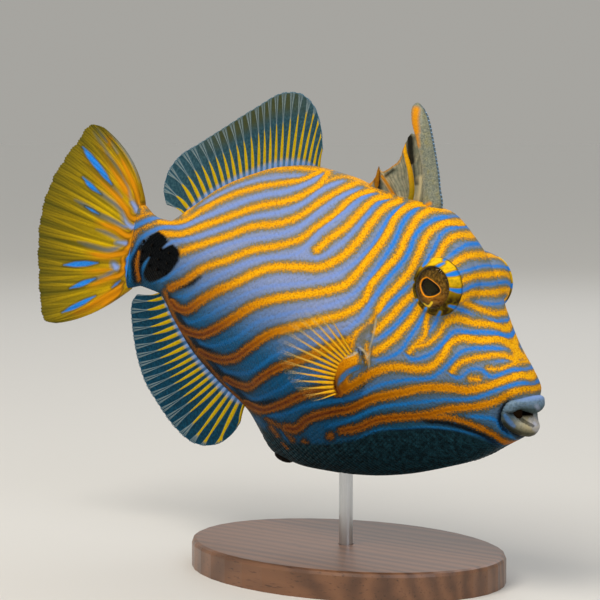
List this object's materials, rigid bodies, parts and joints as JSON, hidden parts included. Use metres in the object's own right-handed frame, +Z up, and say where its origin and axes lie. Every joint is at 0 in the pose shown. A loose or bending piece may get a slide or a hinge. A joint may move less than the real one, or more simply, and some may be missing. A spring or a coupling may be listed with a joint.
{
  "type": "triggerfish model on a display stand",
  "caption": "Life-size orange-striped triggerfish held nose down on a rod over a flat oval base, with raised first dorsal spine, turreted eyes and spread fins",
  "frame": {"origin": "centre of the display base's underside, on the surface it stands on", "axes": "+X is the level direction in which the fish swims, +Y its left side, +Z up"},
  "size_m": [0.2462, 0.092, 0.1721],
  "materials": {
    "skin": "finely scaled skin, amber stripes on lavender and blue, satin",
    "lips": "smooth fleshy skin, blue-grey, satin",
    "eyes": "clear glossy front over a gold-brown iris",
    "spines": "rough granular spine, grey-olive and yellow",
    "fins": "thin dark teal membrane with yellow rays",
    "tail": "olive-yellow membrane over pleated rays with blue streaks",
    "pectorals": "thin clear membrane with pale yellow rays",
    "wood": "dark stained wood, satin lacquer",
    "steel": "plain round steel rod"
  },
  "bodies": {
    "root": {"head": "skin", "torso": "skin", "tail_stem": "skin", "upper_lip": "lips", "lower_lip": "lips", "eye_right": "eyes", "eye_left": "eyes", "first_dorsal_fin": "spines", "pelvic_spine": "spines", "soft_dorsal_fin": "fins", "anal_fin": "fins", "caudal_fin": "tail", "pectoral_fin_right": "pectorals", "pectoral_fin_left": "pectorals", "stand_base": "wood", "stand_rod": "steel"}
  },
  "joints": []
}
